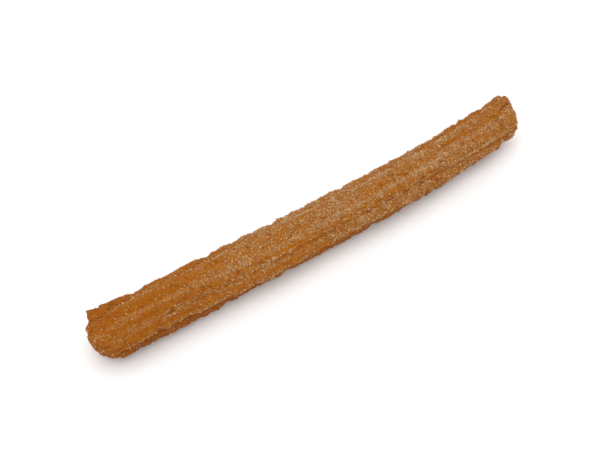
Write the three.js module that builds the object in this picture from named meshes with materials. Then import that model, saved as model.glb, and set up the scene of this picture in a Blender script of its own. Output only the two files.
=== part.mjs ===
// A churro: one bar of fried dough, piped through an eight-point star nozzle, cut at both ends and rolled
// in sugar.
//
// The bar lies along X on the plane z = 0 and bulges towards the front, -Y. It is made as a turned rod of
// radius 1 with rounded ends, and every point of that rod is then moved: out to the ridge or in to the
// groove that it belongs to, round with the twist of the dough, and along with the bow of the bar.
//
// Lengths are in millimetres and angles in degrees. An angle round the bar is 0 at the front and 90 at the
// top. Ridges are numbered from 0, on the upper front, down past the front and under the bar to 7, on the
// top. Groove n lies just before ridge n.
import * as THREE from 'three';

// ---- Driving dimensions: the bar ------------------------------------------------------------------------
const LENGTH = 254; // a ten-inch churro
const CREST_RADIUS = 12.45; // from the middle of the bar to the top of a ridge
const BOW = 4.4; // how far both ends lie behind the middle
const BOW_SKEW = 2.9; // how much further behind the right end lies, and how much less the left end does
const RESTING_FLAT = 0.5; // how deep the lowest ridge is pressed flat by the bar's own weight

// ---- Driving dimensions: ridges and grooves -------------------------------------------------------------
const FIRST_CREST = 54.6; // the angle of ridge 0 at mid-length
const LOWEST_RIDGE = 3; // the one that the bar rests on
const CREST_POWER = 2.1; // 1 gives a ridge like a roof, 2 a round one, and more a flat one
const SAG = 0.28; // how far the ridges on the front and back hang down, as a share of half a ridge

// The grooves, one before each ridge. The dough nearly closed over the two on the upper front, most of all
// towards the left end, and the one on the lower front is the deepest. roundness is 0 for a sharp crease
// and 1 for a soft hollow, leftShare is the share of the depth that is left at the left end, and the turns
// say how far the groove turns upwards towards the left and the right end. Ridges between grooves that turn
// apart grow wide.
const GROOVES = [
  { depth: 0.8, roundness: 1, leftShare: 0.3, leftTurn: 5, rightTurn: 15 },
  { depth: 1.1, roundness: 0.6, leftShare: 0.2, leftTurn: 10, rightTurn: -18 },
  { depth: 3.2, roundness: 0, leftShare: 1, leftTurn: 11, rightTurn: -20 },
  { depth: 2.2, roundness: 0.2, leftShare: 1, leftTurn: 8, rightTurn: -15 },
  { depth: 1.8, roundness: 0.3, leftShare: 1, leftTurn: 6, rightTurn: -10 },
  { depth: 1.8, roundness: 0.3, leftShare: 1, leftTurn: 4, rightTurn: -6 },
  { depth: 1.8, roundness: 0.3, leftShare: 1, leftTurn: 2, rightTurn: -3 },
  { depth: 1.6, roundness: 0.5, leftShare: 1.2, leftTurn: 0, rightTurn: 4 },
];
const CLOSING = { start: -70, end: -112 }; // where leftShare sets in
const LEFT_TURNING = { start: -55, end: -120 };
const RIGHT_TURNING = { start: 55, end: 122 };
// The groove that gapes at the right end, and bends upwards as it runs out there.
const OPEN_GROOVE = { groove: 0, extra: 2.2, reach: 9, turn: 8, turnReach: 6 };
const SWAY = { degrees: 1.4, wave: 96 }; // how far a groove wanders to either side, and over what length

// The slow rise and fall along a ridge's crest, as heights, and along a groove's bed, as shares of its
// depth.
const CREST_WAVES = [
  { height: 0.28, wave: 82 },
  { height: 0.22, wave: 182 },
];
const BED_WAVES = [
  { share: 0.1, wave: 107 },
  { share: 0.1, wave: 258 },
];

// Places where a ridge is nipped in, or swells where the depth is below zero: the ridge, the station along
// X, the depth and the half width.
const NIPS = [
  [6, -121, 0.5, 2],
  [6, -116, -0.5, 2.4],
  [6, -109, -0.6, 9],
  [6, -103, 1.1, 3.2],
  [6, -73, -0.5, 3],
  [6, -64, 0.9, 2.6],
  [6, -51, 0.4, 6],
  [6, -36, 0.4, 6],
  [6, -28, 1.2, 2.2],
  [6, -1, 0.6, 2.4],
  [6, 3, -1.1, 12],
  [6, 46, -0.4, 9],
  [6, 91, -0.6, 3.2],
  [6, 103, 0.5, 3],
  [6, 112, 0.5, 9],
  [6, 120, 0.6, 6],
  [7, 125, -0.3, 9],
  [2, -114, 0.7, 2.4],
  [2, -105, 0.8, 4],
  [2, -74, -0.6, 16],
  [2, -65, 0.8, 2.4],
  [2, -50, 0.4, 9],
  [2, -20, 1.1, 20],
  [2, 20, 1.1, 2.4],
  [2, 42, 0.8, 5],
  [2, 50, 0.6, 8],
  [2, 61, 0.8, 2.6],
  [2, 78, 0.4, 8],
  [2, 89, 0.8, 2.4],
  [2, 118, 1.6, 10],
  [1, 117, 1.1, 3],
  [1, 121, 1.1, 9],
  [0, 108, 0.8, 3],
];
// The small nips that every ridge has, one after another. jitter is a share of the spacing.
const SMALL_NIP = { spacing: 10.5, jitter: 0.4, depth: 0.75, halfWidth: 2.3 };

// ---- Driving dimensions: the cut ends -------------------------------------------------------------------
const END_DOME = 1.6; // how far the middle of a cut end swells
const CUT_REACH = 34; // the length of bar that a slanting cut draws on
// round is the radius where the side turns over onto the cut. Each slant sets the cut back, or pulls it out
// where it is below zero, round the angle that it faces. sharpness is how quickly that fades to the other
// side, and notch is how far a groove bites into the rim.
const LEFT_CUT = {
  round: 4.8,
  slants: [
    { back: 3.8, facing: -39, sharpness: 3.8 },
    { back: 2, facing: 137, sharpness: 6 },
    { back: -1.6, facing: 74, sharpness: 2 },
  ],
  notch: 0.9,
  raggedness: 1.8,
  seed: 97,
};
const RIGHT_CUT = {
  round: 2.4,
  slants: [
    { back: 9.3, facing: -58, sharpness: 4.3 },
    { back: 3.2, facing: 29, sharpness: 6.4 },
    { back: -4.8, facing: 129, sharpness: 2.5 },
  ],
  notch: 0.2,
  raggedness: 1.8,
  seed: 103,
};
const NOTCH_POWER = 4; // how narrow those notches are
// The tip of a ridge that the cutting wire pulled outwards and along at the left end, and tore from the
// ridge before.
const FLAP = { ridge: 6, lift: 1.5, stretch: 2.6, sharpness: 2, reach: 9, tear: 5, tearWidth: 0.4 };
const FLAP_CREASE = { groove: 7, turn: -17, reach: 12 }; // the groove after the flap bends down with it

// ---- Resolution -----------------------------------------------------------------------------------------
const STEPS_PER_RIDGE = 8;
const SIDE_STEP = 4;
const EDGE_STEPS = 4;
const FACE_STEPS = 4;

// ---- Helpers --------------------------------------------------------------------------------------------
const DEGREE = Math.PI / 180;
const HALF = LENGTH / 2;
const RIDGES = GROOVES.length;
const RIDGE_ANGLE = 360 / RIDGES;
const SEED = { crest: 1, bed: 3, cut: 5, sway: 11, nipPlace: 20, nipDepth: 40 };

/** A repeatable number from 0 to 1 for a pair of whole numbers. */
function fraction(a, b) {
  const wave = Math.sin(a * 12.9898 + b * 78.233) * 43758.5453;
  return wave - Math.floor(wave);
}

/** A wave from -1 to 1 along X, whose phase a pair of whole numbers picks. */
function wander(x, wave, a, b) {
  return Math.sin(2 * Math.PI * (x / wave + fraction(a, b)));
}

/** 0 at start, 1 at end, and a smooth rise between them. */
function ramp(start, end, x) {
  const t = Math.min(1, Math.max(0, (x - start) / (end - start)));
  return t * t * (3 - 2 * t);
}

/** A smooth bump of height 1 at 0 that has died away at about two half widths. */
function bump(distance, halfWidth) {
  return Math.exp(-((distance / halfWidth) ** 2));
}

// ---- Ridges and grooves ---------------------------------------------------------------------------------
/** The angle of a groove at a station. */
function grooveAngle(groove, x) {
  const { leftTurn, rightTurn } = GROOVES[groove];
  let angle = FIRST_CREST + (0.5 - groove) * RIDGE_ANGLE;
  angle += leftTurn * ramp(LEFT_TURNING.start, LEFT_TURNING.end, x);
  angle += rightTurn * ramp(RIGHT_TURNING.start, RIGHT_TURNING.end, x);
  if (groove === FLAP_CREASE.groove) angle += FLAP_CREASE.turn * bump(x + HALF, FLAP_CREASE.reach);
  if (groove === OPEN_GROOVE.groove) angle += OPEN_GROOVE.turn * bump(HALF - x, OPEN_GROOVE.turnReach);
  return angle + SWAY.degrees * wander(x, SWAY.wave, groove, SEED.sway);
}

/** The angle of a place round the bar. Place 0 is groove 0, place 0.5 the middle of ridge 0, and so on. */
function placeAngle(x, place) {
  const ridge = Math.floor(place);
  const before = grooveAngle(ridge, x);
  const after = ridge + 1 < RIDGES ? grooveAngle(ridge + 1, x) : grooveAngle(0, x) - 360;
  return before + (after - before) * (place - ridge);
}

/** How high a ridge stands at a station. */
function crestRadius(ridge, x) {
  let radius = CREST_RADIUS;
  CREST_WAVES.forEach(({ height, wave }, i) => {
    radius += height * wander(x, wave, ridge, SEED.crest + i);
  });
  for (const [nipped, station, depth, halfWidth] of NIPS) {
    if (nipped === ridge) radius -= depth * bump(x - station, halfWidth);
  }
  const nearest = Math.round(x / SMALL_NIP.spacing);
  for (let i = nearest - 1; i <= nearest + 1; i += 1) {
    const shift = SMALL_NIP.jitter * (2 * fraction(ridge + SEED.nipPlace, i) - 1);
    const depth = SMALL_NIP.depth * fraction(ridge + SEED.nipDepth, i) ** 2;
    radius -= depth * bump(x - (i + shift) * SMALL_NIP.spacing, SMALL_NIP.halfWidth);
  }
  return radius;
}

/** How far the bed of a groove is from the middle of the bar. */
function bedRadius(groove, x) {
  const { depth, leftShare } = GROOVES[groove];
  let share = 1;
  BED_WAVES.forEach((bed, i) => {
    share += bed.share * wander(x, bed.wave, groove, SEED.bed + i);
  });
  share *= 1 + (leftShare - 1) * ramp(CLOSING.start, CLOSING.end, x);
  const opening = groove === OPEN_GROOVE.groove ? OPEN_GROOVE.extra * bump(HALF - x, OPEN_GROOVE.reach) : 0;
  return CREST_RADIUS - depth * share - opening;
}

/** Where a place lies on its ridge: -1 and 1 in the grooves, and 0 on the crest, which hangs by its sag. */
function acrossRidge(x, place) {
  const ridge = Math.floor(place);
  const crest = SAG * Math.cos(placeAngle(x, ridge + 0.5) * DEGREE);
  const across = 2 * (place - ridge) - 1;
  return across < crest ? (across - crest) / (1 + crest) : (across - crest) / (1 - crest);
}

/** The radius of the ridged side. */
function sideRadius(x, place) {
  const ridge = Math.floor(place);
  const across = acrossRidge(x, place);
  const groove = across < 0 ? ridge : (ridge + 1) % RIDGES;
  const bed = bedRadius(groove, x);
  const creased = 1 - Math.abs(across) ** CREST_POWER;
  const hollow = 0.5 + 0.5 * Math.cos(Math.PI * across);
  const rise = creased + (hollow - creased) * GROOVES[groove].roundness;
  return bed + (crestRadius(ridge, x) - bed) * rise;
}

// ---- The cut ends ---------------------------------------------------------------------------------------
/** How far a cut sets the rim of an end back towards mid-length. */
function setback(cut, x, place) {
  const across = acrossRidge(x, place);
  const angle = placeAngle(x, place);
  const ragged = cut.raggedness * fraction(Math.floor(place) + cut.seed, SEED.cut) * (1 - across * across);
  let back = ragged + cut.notch * Math.abs(across) ** NOTCH_POWER;
  for (const slant of cut.slants) {
    back += slant.back * (0.5 + 0.5 * Math.cos((angle - slant.facing) * DEGREE)) ** slant.sharpness;
  }
  return back;
}

/** The share of the flap's pull that a place gets: 1 on the tip of the torn ridge, 0 beyond its grooves. */
function flapShare(x, place) {
  if (Math.floor(place) !== FLAP.ridge) return 0;
  return (1 - Math.abs(acrossRidge(x, place))) ** FLAP.sharpness * bump(x + HALF, FLAP.reach);
}

/** How far back the tear beside the flap goes. */
function tearDepth(x, place) {
  return FLAP.tear * bump(place - FLAP.ridge, FLAP.tearWidth) * bump(x + HALF, FLAP.reach);
}

// ---- The bar --------------------------------------------------------------------------------------------
/** The bar's middle line. Its height keeps the lowest ridge just below the plane z = 0 all along. */
function middle(x) {
  const t = x / HALF;
  const lowest = placeAngle(x, LOWEST_RIDGE + 0.5) * DEGREE;
  const height = -CREST_RADIUS * Math.sin(lowest) - RESTING_FLAT;
  return new THREE.Vector3(x, BOW * t * t + BOW_SKEW * t * t * t, height);
}

/** The level direction square to the middle line, pointing to the back. */
function backwards(x) {
  const t = x / HALF;
  const slope = (2 * BOW * t + 3 * BOW_SKEW * t * t) / HALF;
  return new THREE.Vector3(-slope, 1, 0).normalize();
}

/** Where a point of the plain rod goes: x along it, place round it, and its share of the full radius. */
function doughPoint(x, place, share) {
  const pull = share * share; // the cuts shape the rim most and leave the middle of an end where it is
  const leftEnd = 1 - ramp(-HALF, -HALF + CUT_REACH, x);
  const rightEnd = ramp(HALF - CUT_REACH, HALF, x);
  const cut = leftEnd * setback(LEFT_CUT, x, place) - rightEnd * setback(RIGHT_CUT, x, place);
  const flap = flapShare(x, place);
  const station = x + pull * (cut + tearDepth(x, place) - FLAP.stretch * flap);

  const radius = share * sideRadius(x, place) + pull * FLAP.lift * flap;
  const angle = placeAngle(x, place) * DEGREE;
  const point = middle(station).addScaledVector(backwards(x), -radius * Math.cos(angle));
  point.z = Math.max(0, point.z + radius * Math.sin(angle));
  return point;
}

/** The outline of one end of the rod, from its middle to the side: shares of the radius and distances in. */
function endOutline(round) {
  const faceShare = 1 - round / CREST_RADIUS;
  const outline = [];
  for (let i = 0; i <= FACE_STEPS; i += 1) {
    const out = i / FACE_STEPS;
    outline.push([faceShare * out, -END_DOME * (1 - out * out)]);
  }
  for (let i = 1; i <= EDGE_STEPS; i += 1) {
    const turned = (i / EDGE_STEPS) * 90 * DEGREE;
    outline.push([faceShare + (1 - faceShare) * Math.sin(turned), round * (1 - Math.cos(turned))]);
  }
  return outline;
}

/** The outline of the plain rod, from the middle of its left end to the middle of its right end. */
function rodProfile() {
  const leftEnd = endOutline(LEFT_CUT.round).map(([share, inward]) => [share, -HALF + inward]);
  const rightEnd = endOutline(RIGHT_CUT.round).map(([share, inward]) => [share, HALF - inward]);
  const sideLength = LENGTH - LEFT_CUT.round - RIGHT_CUT.round;
  const sideSteps = Math.round(sideLength / SIDE_STEP);
  const side = [];
  for (let i = 1; i < sideSteps; i += 1) {
    side.push([1, -HALF + LEFT_CUT.round + (i * sideLength) / sideSteps]);
  }
  return [...leftEnd, ...side, ...rightEnd.reverse()].map(([share, x]) => new THREE.Vector2(share, x));
}

/** The churro's closed surface: the plain rod, each of whose points is moved to its place in the dough. */
function churroGeometry() {
  const columns = RIDGES * STEPS_PER_RIDGE;
  const geometry = new THREE.LatheGeometry(rodProfile(), columns);
  const positions = geometry.getAttribute('position');
  const rod = new THREE.Vector3();
  for (let i = 0; i < positions.count; i += 1) {
    rod.fromBufferAttribute(positions, i);
    const share = Math.hypot(rod.x, rod.z);
    const column = (Math.round((Math.atan2(rod.x, rod.z) / (2 * Math.PI)) * columns) + columns) % columns;
    const point = doughPoint(rod.y, column / STEPS_PER_RIDGE, share);
    positions.setXYZ(i, point.x, point.y, point.z);
  }
  geometry.deleteAttribute('normal');
  geometry.deleteAttribute('uv');
  geometry.computeBoundingBox();
  const box = geometry.boundingBox;
  geometry.translate(-(box.min.x + box.max.x) / 2, -(box.min.y + box.max.y) / 2, -box.min.z);
  geometry.computeVertexNormals();
  return geometry;
}

const friedDough = new THREE.MeshStandardMaterial({ color: 0xa56a33, roughness: 0.85, metalness: 0 });

const churro = new THREE.Mesh(churroGeometry(), friedDough);
churro.name = 'churro';

const part = new THREE.Group();
part.add(churro);

export default part;
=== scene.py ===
# %% [markdown]
# # A sugared churro
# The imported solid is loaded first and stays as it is. It is one plain bar of dough with eight ridges.
# This lesson makes the bar that is seen: the same dough, laid out finely enough to carry crags, pits and
# cracks, then browned, and then rolled in cinnamon sugar whose grains are real pieces.

import bpy
import numpy as np
from mathutils import Matrix, Vector


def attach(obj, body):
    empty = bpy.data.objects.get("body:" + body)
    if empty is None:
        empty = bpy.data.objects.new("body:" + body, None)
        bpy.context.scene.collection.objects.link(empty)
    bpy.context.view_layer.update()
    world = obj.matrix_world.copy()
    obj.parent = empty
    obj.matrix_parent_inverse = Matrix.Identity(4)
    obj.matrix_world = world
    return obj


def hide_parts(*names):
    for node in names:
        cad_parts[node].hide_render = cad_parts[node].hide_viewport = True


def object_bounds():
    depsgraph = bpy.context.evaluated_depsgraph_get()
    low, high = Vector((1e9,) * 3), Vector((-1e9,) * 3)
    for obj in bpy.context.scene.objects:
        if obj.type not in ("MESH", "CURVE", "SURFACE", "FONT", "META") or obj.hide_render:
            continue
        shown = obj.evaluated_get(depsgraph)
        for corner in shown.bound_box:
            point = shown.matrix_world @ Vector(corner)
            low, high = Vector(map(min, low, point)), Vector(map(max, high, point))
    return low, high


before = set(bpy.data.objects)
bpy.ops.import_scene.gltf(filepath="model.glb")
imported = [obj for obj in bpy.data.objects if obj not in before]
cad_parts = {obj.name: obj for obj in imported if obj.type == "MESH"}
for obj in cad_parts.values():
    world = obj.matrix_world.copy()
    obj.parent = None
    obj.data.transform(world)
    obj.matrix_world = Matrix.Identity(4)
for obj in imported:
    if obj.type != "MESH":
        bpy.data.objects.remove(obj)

solid_box = [list(corner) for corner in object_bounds()]
NODE = "churro"
BODY = "root"
MM = 0.001
print("solid, mm:", np.round(np.array(solid_box) / MM, 2).tolist())

# %% [markdown]
# ## The camera
# A churro is long and thin, so it is looked at from well above and from one side: its whole length then
# runs across the view, and the top and the front ridges both show. The camera is placed by the angle
# it looks from and by its distance, because those are what one would change on a real tripod.

# %% Camera
VIEW_AZIMUTH = -33.69
VIEW_ELEVATION = 51.02
VIEW_DISTANCE = 374.26 * MM
VIEW_TARGET = Vector((-14.50, 2.42, 12.45)) * MM
LENS = 45.0
NEAREST = 10 * MM


def camera_turn(azimuth, elevation):
    """The turn of a camera that looks along +Y at azimuth 0 and down by its elevation, in degrees."""
    a, e = np.radians([azimuth, elevation])
    back = Vector((np.sin(a) * np.cos(e), -np.cos(a) * np.cos(e), np.sin(e)))
    right = Vector((np.cos(a), np.sin(a), 0))
    return Matrix((right, back.cross(right), back)).transposed()


turn = camera_turn(VIEW_AZIMUTH, VIEW_ELEVATION)
camera_data = bpy.data.cameras.new("camera")
camera_data.lens = LENS
camera_data.clip_start = NEAREST
camera = bpy.data.objects.new("camera", camera_data)
camera.matrix_world = Matrix.Translation(VIEW_TARGET + turn.col[2] * VIEW_DISTANCE) @ turn.to_4x4()
bpy.context.scene.collection.objects.link(camera)
bpy.context.scene.camera = camera
print("camera at, mm:", [round(v / MM, 1) for v in camera.matrix_world.translation])

# %% [markdown]
# ## Repeatable chance
# Dough is never even, but a lesson has to give the same churro each time. So chance comes from a formula:
# the same pair of numbers always gives the same fraction. Waves, ramps and bumps are the shapes that
# unevenness takes along the bar, and lumps are the shape that it takes all over the crust.

# %% Chance, waves, ramps and bumps
SCRAMBLE_A, SCRAMBLE_B, SCRAMBLE = 12.9898, 78.233, 43758.5453


def fraction(a, b):
    """A repeatable number from 0 to 1 for a pair of numbers."""
    wave = np.sin(a * SCRAMBLE_A + b * SCRAMBLE_B) * SCRAMBLE
    return wave - np.floor(wave)


def wander(x, wave, a, b):
    """A wave from -1 to 1 along X, whose phase a pair of numbers picks."""
    return np.sin(2 * np.pi * (x / wave + fraction(a, b)))


def ramp(start, end, x):
    """0 at start, 1 at end, and a smooth rise between them."""
    t = np.clip((x - start) / (end - start), 0, 1)
    return t * t * (3 - 2 * t)


def bump(distance, half_width):
    """A smooth bump of height 1 at 0 that has died away at about two half widths."""
    return np.exp(-((distance / half_width) ** 2))


print("chance:", round(float(fraction(1, 2)), 4))

# %% Lumps in space
LATTICE = np.array([1.0, 1021.0, 15013.0])


def lumps(places, size, seed):
    """Smooth lumps of about this size, from -1 to 1, at every place."""
    spot = places / size
    cell = np.floor(spot)
    fade = spot - cell
    fade = fade * fade * (3 - 2 * fade)
    total = np.zeros(len(places))
    for corner in np.ndindex(2, 2, 2):
        weight = np.prod(np.where(corner, fade, 1 - fade), axis=1)
        total += weight * fraction((cell + corner) @ LATTICE, seed)
    return 2 * total - 1


def span(values):
    """The lowest and the highest of some values, for printing."""
    return round(float(values.min()), 2), round(float(values.max()), 2)


print("lumps along a line:", *span(lumps(np.arange(30.0).reshape(10, 3), 2.0, 1)))

# %% [markdown]
# ## The bar of dough
# On a real churro the ridges are the mark of the star nozzle. They could be modelled as eight tubes
# joined to a core, but dough has no joints, so the bar is one surface instead: a plain rod whose every
# point is moved out to the ridge or in to the groove that it belongs to. A place round the bar is counted
# in ridges: place 0 is groove 0, place 0.5 the crest of ridge 0, and place 8 is groove 0 again. Angles
# are 0 at the front and 90 at the top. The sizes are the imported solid's own, so the fine bar lies on the
# plain one.

# %% Sizes of the bar, in millimetres and degrees
LENGTH = 254.0
HALF = LENGTH / 2
CREST_RADIUS = 12.45
BOW = 4.4
BOW_SKEW = 2.9
RESTING_FLAT = 0.5
RIDGES = 8
RIDGE_ANGLE = 360 / RIDGES
GROOVE_DEPTHS = np.array([0.8, 1.1, 3.2, 2.2, 1.8, 1.8, 1.8, 1.6])
GROOVE_ROUNDING = np.array([1.0, 0.6, 0.0, 0.2, 0.3, 0.3, 0.3, 0.5])
LEFT_DEPTHS = (-70, -112, [0.3, 0.2, 1.0, 1.0, 1.0, 1.0, 1.0, 1.2])
CREST_POWER = 2.1
SAG = 0.28
FIRST_CREST = 54.6
LOWEST_RIDGE = 3
LEFT_TURNS = (-55, -120, [5, 10, 11, 8, 6, 4, 2, 0])
RIGHT_TURNS = (55, 122, [15, -18, -20, -15, -10, -6, -3, 4])
SWAY_ANGLE = 1.4
SWAY_WAVE = 96
CREST_WAVES = [(0.28, 82), (0.22, 182)]
BED_WAVES = [(0.1, 107), (0.1, 258)]
OPEN_GROOVE, OPEN_EXTRA, OPEN_REACH = 0, 2.2, 9
OPEN_TURN, OPEN_TURN_REACH = 8, 6
SEED = {"crest": 1, "bed": 3, "cut": 5, "sway": 11, "nip place": 20, "nip depth": 40}
print("ridges:", RIDGES, " length, mm:", LENGTH, " deepest groove, mm:", GROOVE_DEPTHS.max())

# %% Nips and swells: ridge, station, depth (a swell's is negative) and half width
NIPS = [
    (6, -121, 0.5, 2.0),
    (6, -116, -0.5, 2.4),
    (6, -109, -0.6, 9.0),
    (6, -103, 1.1, 3.2),
    (6, -73, -0.5, 3.0),
    (6, -64, 0.9, 2.6),
    (6, -51, 0.4, 6.0),
    (6, -36, 0.4, 6.0),
    (6, -28, 1.2, 2.2),
    (6, -1, 0.6, 2.4),
    (6, 3, -1.1, 12.0),
    (6, 46, -0.4, 9.0),
    (6, 91, -0.6, 3.2),
    (6, 103, 0.5, 3.0),
    (6, 112, 0.5, 9.0),
    (6, 120, 0.6, 6.0),
    (7, 125, -0.3, 9.0),
    (2, -114, 0.7, 2.4),
    (2, -105, 0.8, 4.0),
    (2, -74, -0.6, 16.0),
    (2, -65, 0.8, 2.4),
    (2, -50, 0.4, 9.0),
    (2, -20, 1.1, 20.0),
    (2, 20, 1.1, 2.4),
    (2, 42, 0.8, 5.0),
    (2, 50, 0.6, 8.0),
    (2, 61, 0.8, 2.6),
    (2, 78, 0.4, 8.0),
    (2, 89, 0.8, 2.4),
    (2, 118, 1.6, 10.0),
    (1, 117, 1.1, 3.0),
    (1, 121, 1.1, 9.0),
    (0, 108, 0.8, 3.0),
]
SMALL_NIP_SPACING, SMALL_NIP_JITTER, SMALL_NIP_DEPTH, SMALL_NIP_WIDTH = 10.5, 0.4, 0.75, 2.3
print("nips and swells:", len(NIPS), " and a small nip about every", SMALL_NIP_SPACING, "mm on each ridge")

# %% Sizes of the cut ends
END_DOME = 1.6
CUT_REACH = 34
LEFT_CUT = {
    "round": 4.8,
    "slants": [(3.8, -39, 3.8), (2.0, 137, 6), (-1.6, 74, 2)],
    "notch": 0.9,
    "ragged": 1.8,
    "seed": 97,
}
RIGHT_CUT = {
    "round": 2.4,
    "slants": [(9.3, -58, 4.3), (3.2, 29, 6.4), (-4.8, 129, 2.5)],
    "notch": 0.2,
    "ragged": 1.8,
    "seed": 103,
}
NOTCH_POWER = 4
FLAP_RIDGE, FLAP_LIFT, FLAP_STRETCH, FLAP_REACH = 6, 1.5, 2.6, 9
FLAP_TEAR, FLAP_TEAR_WIDTH = 5, 0.4
FLAP_SHARPNESS = 2
CREASE_GROOVE, CREASE_TURN, CREASE_REACH = 7, -17, 12
print("cut ends are domed by, mm:", END_DOME, " and the flap stands up by, mm:", FLAP_LIFT)


# %% Where the grooves lie
def groove_angle(groove, x):
    """The angle of a groove at a station. Groove 8 is groove 0 after a whole turn."""
    angle = FIRST_CREST + (0.5 - groove) * RIDGE_ANGLE
    own = groove % RIDGES
    for start, end, degrees in (LEFT_TURNS, RIGHT_TURNS):
        angle = angle + np.array(degrees)[own] * ramp(start, end, x)
    angle = angle + (own == CREASE_GROOVE) * CREASE_TURN * bump(x + HALF, CREASE_REACH)
    angle = angle + (own == OPEN_GROOVE) * OPEN_TURN * bump(HALF - x, OPEN_TURN_REACH)
    return angle + SWAY_ANGLE * wander(x, SWAY_WAVE, own, SEED["sway"])


def place_angle(x, place):
    """The angle of a place round the bar."""
    ridge = np.floor(place).astype(int)
    before = groove_angle(ridge, x)
    return before + (groove_angle(ridge + 1, x) - before) * (place - ridge)


print("grooves at mid-length, degrees:", [round(float(groove_angle(i, 0.0))) for i in range(RIDGES)])


# %% How high the ridges stand and how deep the grooves lie
def crest_radius(ridge, x):
    """How high a ridge stands at a station."""
    radius = CREST_RADIUS + np.zeros_like(x)
    for i, (height, wave) in enumerate(CREST_WAVES):
        radius += height * wander(x, wave, ridge, SEED["crest"] + i)
    for nipped, station, depth, half_width in NIPS:
        radius -= (ridge == nipped) * depth * bump(x - station, half_width)
    nearest = np.round(x / SMALL_NIP_SPACING)
    for i in (nearest - 1, nearest, nearest + 1):
        shift = SMALL_NIP_JITTER * (2 * fraction(ridge + SEED["nip place"], i) - 1)
        depth = SMALL_NIP_DEPTH * fraction(ridge + SEED["nip depth"], i) ** 2
        radius -= depth * bump(x - (i + shift) * SMALL_NIP_SPACING, SMALL_NIP_WIDTH)
    return radius


def bed_radius(groove, x):
    """How far the bed of a groove is from the middle of the bar."""
    depth = GROOVE_DEPTHS[groove] + np.zeros_like(x)
    for i, (share, wave) in enumerate(BED_WAVES):
        depth += GROOVE_DEPTHS[groove] * share * wander(x, wave, groove, SEED["bed"] + i)
    start, end, shares = LEFT_DEPTHS
    depth *= 1 + (np.array(shares)[groove] - 1) * ramp(start, end, x)
    depth += (groove == OPEN_GROOVE) * OPEN_EXTRA * bump(HALF - x, OPEN_REACH)
    return CREST_RADIUS - depth


along_bar = np.linspace(-HALF, HALF, 509)
print("ridge 6 stands, mm:", *span(crest_radius(6, along_bar)))
print("bed of groove 2 lies, mm:", *span(bed_radius(2, along_bar)))


# %% The ridged side
def across_ridge(x, place):
    """-1 and 1 in the grooves, and 0 on the crest, which hangs down by its sag."""
    ridge = np.floor(place)
    crest = SAG * np.cos(np.radians(place_angle(x, ridge + 0.5)))
    across = 2 * (place - ridge) - 1
    return (across - crest) / np.where(across < crest, 1 + crest, 1 - crest)


def side_radius(x, place):
    """The radius of the ridged side."""
    ridge = np.floor(place).astype(int)
    across = across_ridge(x, place)
    groove = np.where(across < 0, ridge, (ridge + 1) % RIDGES)
    bed = bed_radius(groove, x)
    rounding = GROOVE_ROUNDING[groove]
    full_ridge = 1 - np.abs(across) ** CREST_POWER
    rounded_ridge = 0.5 + 0.5 * np.cos(np.pi * across)
    rise = (1 - rounding) * full_ridge + rounding * rounded_ridge
    return bed + (crest_radius(ridge, x) - bed) * rise


round_bar = np.arange(0, RIDGES, 0.125)
print("side at mid-length, mm:", *span(side_radius(np.zeros_like(round_bar), round_bar)))


# %% The cut ends, with the flap that the wire tore at the left one
def setback(cut, x, place):
    """How far a cut sets the rim of an end back towards mid-length."""
    across = across_ridge(x, place)
    angle = place_angle(x, place)
    ragged = cut["ragged"] * fraction(np.floor(place) + cut["seed"], SEED["cut"]) * (1 - across * across)
    back = ragged + cut["notch"] * np.abs(across) ** NOTCH_POWER
    for slant, facing, sharpness in cut["slants"]:
        back += slant * (0.5 + 0.5 * np.cos(np.radians(angle - facing))) ** sharpness
    return back


def flap_share(x, place):
    """1 on the tip of the torn ridge, and 0 beyond its grooves."""
    on_ridge = np.floor(place) == FLAP_RIDGE
    near_crest = (1 - np.abs(across_ridge(x, place))) ** FLAP_SHARPNESS
    return on_ridge * near_crest * bump(x + HALF, FLAP_REACH)


for name, cut, x in (("left", LEFT_CUT, -HALF), ("right", RIGHT_CUT, HALF)):
    print(name, "cut is set back, mm:", *span(setback(cut, np.full_like(round_bar, x), round_bar)))


# %% The middle line, and the point of dough at a place
def middle(x):
    """The bar's middle line, which keeps the lowest ridge just below the table."""
    t = x / HALF
    lowest = np.radians(place_angle(x, np.full_like(x, LOWEST_RIDGE + 0.5)))
    height = -CREST_RADIUS * np.sin(lowest) - RESTING_FLAT
    return np.stack([x, BOW * t**2 + BOW_SKEW * t**3, height], axis=1)


def dough_points(x, place, share):
    """Where points of a plain rod go: x along it, place round it, and their share of the full radius."""
    pull = share * share
    left_end = 1 - ramp(-HALF, -HALF + CUT_REACH, x)
    right_end = ramp(HALF - CUT_REACH, HALF, x)
    cut = left_end * setback(LEFT_CUT, x, place) - right_end * setback(RIGHT_CUT, x, place)
    flap = flap_share(x, place)
    tear = FLAP_TEAR * bump(place - FLAP_RIDGE, FLAP_TEAR_WIDTH) * bump(x + HALF, FLAP_REACH)
    station = x + pull * (cut + tear - FLAP_STRETCH * flap)
    radius = share * side_radius(x, place) + pull * FLAP_LIFT * flap
    angle = np.radians(place_angle(x, place))
    t = x / HALF
    slope = (2 * BOW * t + 3 * BOW_SKEW * t * t) / HALF
    level = radius * np.cos(angle) / np.hypot(slope, 1)
    points = middle(station)
    points += np.stack([slope * level, -level, radius * np.sin(angle)], axis=1)
    points[:, 2] = np.maximum(points[:, 2], 0)
    return points


print("bow of the middle line, mm:", *span(middle(along_bar)[:, 1]))

# %% [markdown]
# ## Laying the dough out
# The rod is laid out in rows along it and columns round it. More columns run where the grooves are,
# because a groove turns sharply and a crest doesn't. The solid was laid out the same way with far fewer
# rows, and then set with the middle of its base at the origin, so the same shift puts this bar over it.
# The print shows how well.

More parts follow.
